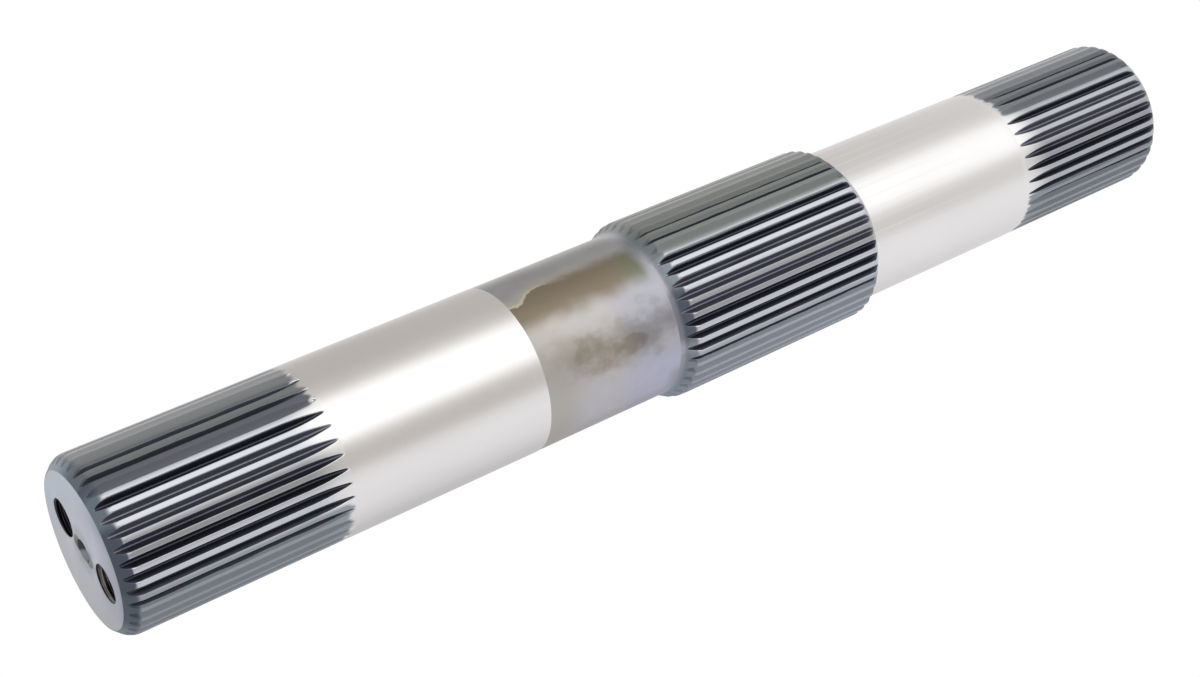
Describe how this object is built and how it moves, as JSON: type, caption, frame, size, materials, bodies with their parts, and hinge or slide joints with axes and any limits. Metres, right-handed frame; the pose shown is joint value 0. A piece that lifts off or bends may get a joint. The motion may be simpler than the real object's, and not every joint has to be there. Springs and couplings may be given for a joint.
{
  "type": "lift arm shaft",
  "caption": "One-piece steel rocker shaft for a tractor's hydraulic lift, with splined ends for the lift arms, a larger spline in the middle, ground journals and tapped ends.",
  "frame": {"origin": "centre of the far end face, on which the shaft stands", "axes": "+Z along the shaft's axis towards the near end, +X along the line through the tapped holes in the near end face"},
  "size_m": [0.0546, 0.0546, 0.3765],
  "materials": {
    "shaft_steel": "hardened and tempered steel with ground journals"
  },
  "bodies": {
    "root": {"lift_arm_shaft": "shaft_steel"}
  },
  "joints": []
}
